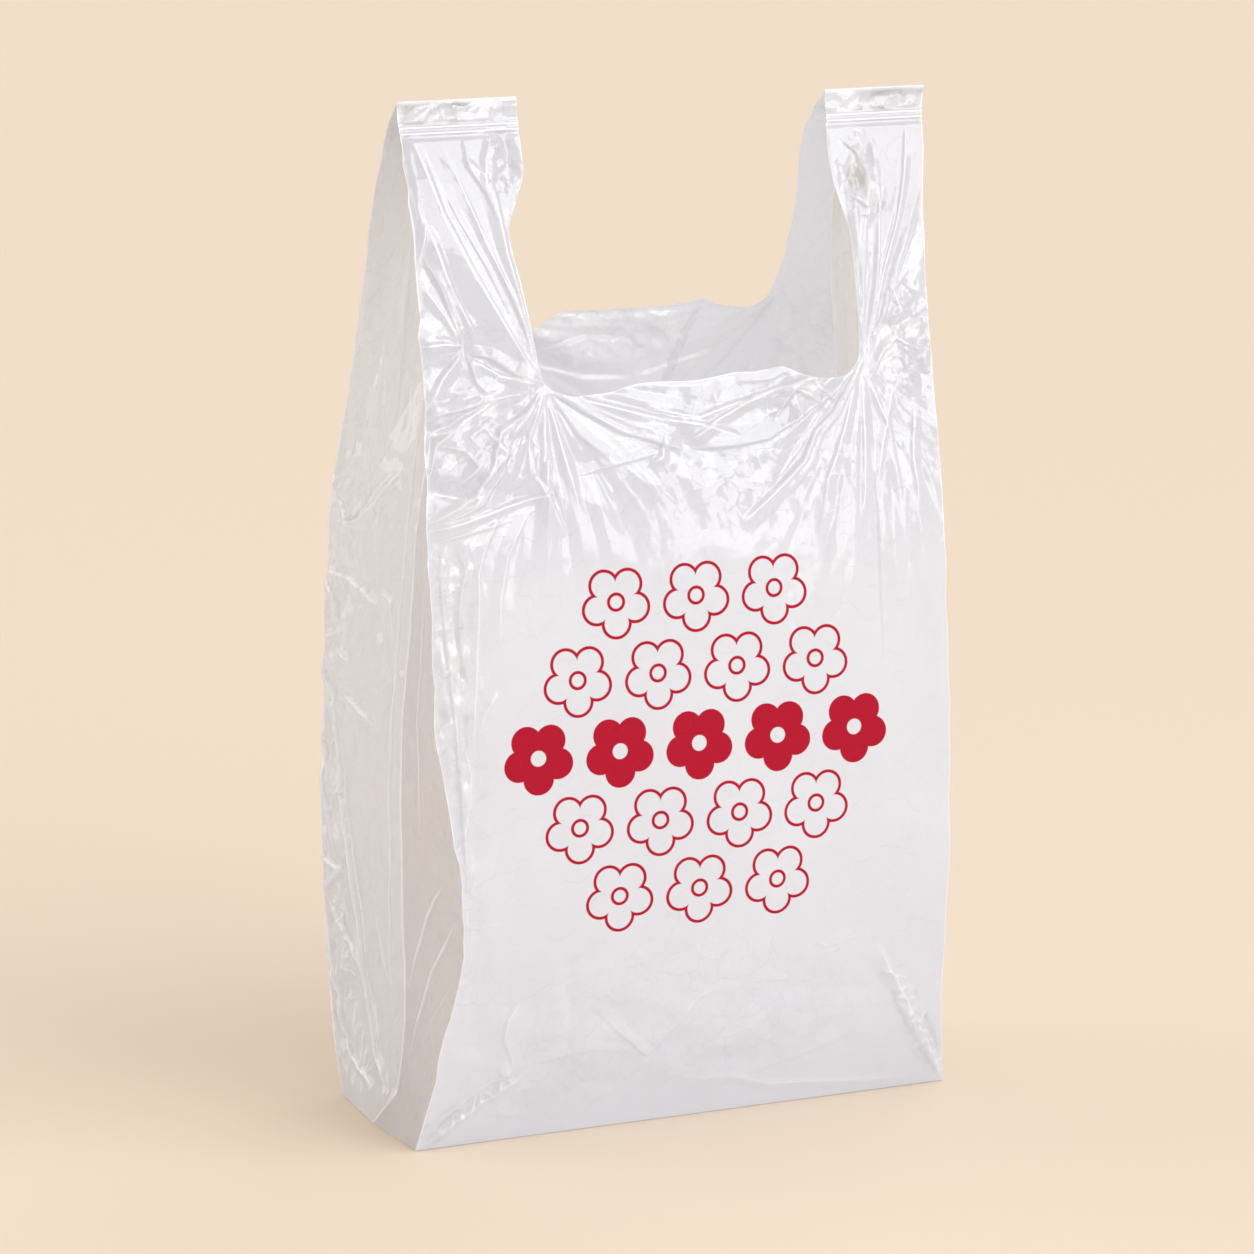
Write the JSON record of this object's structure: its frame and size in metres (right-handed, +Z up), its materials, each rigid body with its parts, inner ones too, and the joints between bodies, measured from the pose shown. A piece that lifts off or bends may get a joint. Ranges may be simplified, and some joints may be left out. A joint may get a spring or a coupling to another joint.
{
  "type": "plastic carrier bag",
  "caption": "Thin white film carrier bag standing open, with gusseted sides, a welded flat base, a cut-out mouth and loop handles beside it.",
  "frame": {"origin": "on the floor at the middle of the base", "axes": "+Z up, the printed front faces -Y, +X to the right of someone who looks at the front"},
  "size_m": [0.305, 0.168, 0.521],
  "materials": {
    "film": "thin cloudy white polythene film, glossy and finely crinkled, with a plain red pattern printed on the front"
  },
  "bodies": {
    "root": {"bag": "film"}
  },
  "joints": []
}
